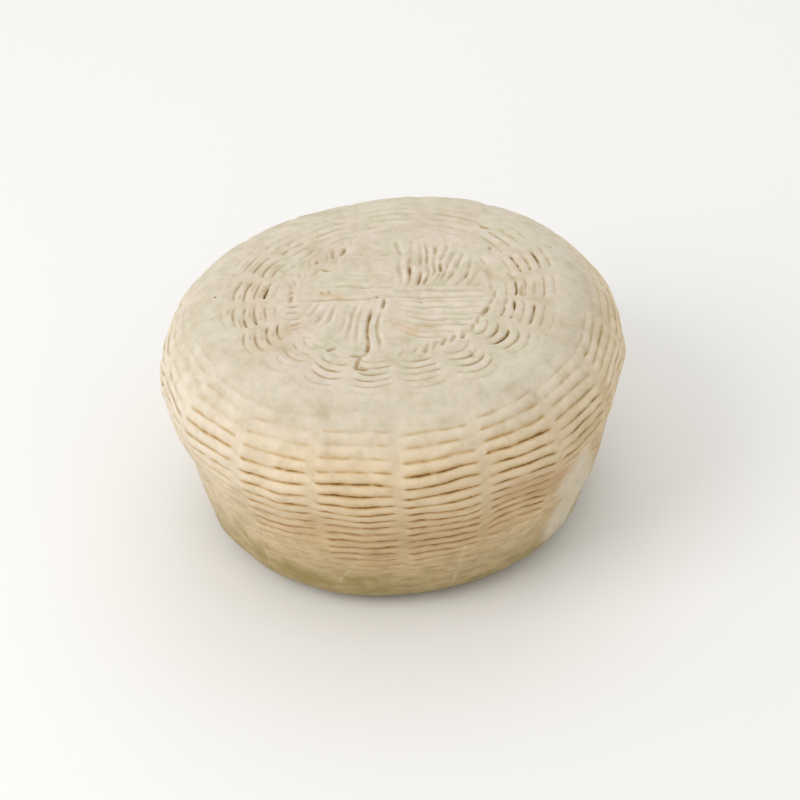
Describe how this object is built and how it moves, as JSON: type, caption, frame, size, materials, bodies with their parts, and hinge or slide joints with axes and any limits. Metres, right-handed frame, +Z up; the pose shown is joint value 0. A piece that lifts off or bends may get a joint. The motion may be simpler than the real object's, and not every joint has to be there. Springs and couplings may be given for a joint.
{
  "type": "goat cheese",
  "caption": "Whole wheel of fresh goat cheese, squat and narrowing to its base, with the print of a woven basket on its top and side.",
  "frame": {"origin": "middle of the bounding box of the outline seen from above, on the plane of the flat base", "axes": "+Z up out of the top face, along the wheel's axis; -Y is the side that faces the viewer; +X to the viewer's right"},
  "size_m": [0.1594, 0.16, 0.0844],
  "materials": {
    "rind": "dry cream rind, ochre to brown in the grooves, olive-tan towards the base"
  },
  "bodies": {
    "root": {"goat_cheese": "rind"}
  },
  "joints": []
}
